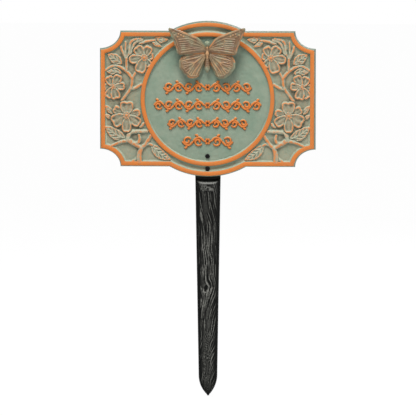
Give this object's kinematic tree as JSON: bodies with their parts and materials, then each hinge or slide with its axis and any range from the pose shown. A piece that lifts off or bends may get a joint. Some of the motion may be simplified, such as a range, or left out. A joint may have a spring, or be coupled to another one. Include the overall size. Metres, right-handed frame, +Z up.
{
  "type": "garden plaque on a stake",
  "caption": "Cast metal garden plaque with notched corners, a raised rim, a round medallion with rows of vines, blossom relief and a standing butterfly, on a pointed cast stake pushed into soil.",
  "frame": {"origin": "on the stake's centre line at the soil line, in the plane where the stake's tang meets the plaque's back", "axes": "+Z up along the stake, +X to the right seen from the front, -Y out of the plaque's face"},
  "size_m": [0.222, 0.0271, 0.3882],
  "materials": {
    "verdigris": "matt verdigris green with copper orange rubbed on the raised edges",
    "bronze": "antique copper brown, rubbed brighter on the veins",
    "black_paint": "satin black over a cast wood grain",
    "black_steel": "black oxide",
    "zinc_steel": "bright zinc plate"
  },
  "bodies": {
    "root": {"plaque_casting": "verdigris", "butterfly_casting": "bronze", "stake_casting": "black_paint", "stake_screw_upper": "black_steel", "stake_screw_lower": "black_steel", "butterfly_screw_upper": "zinc_steel", "butterfly_screw_lower": "zinc_steel"}
  },
  "joints": []
}
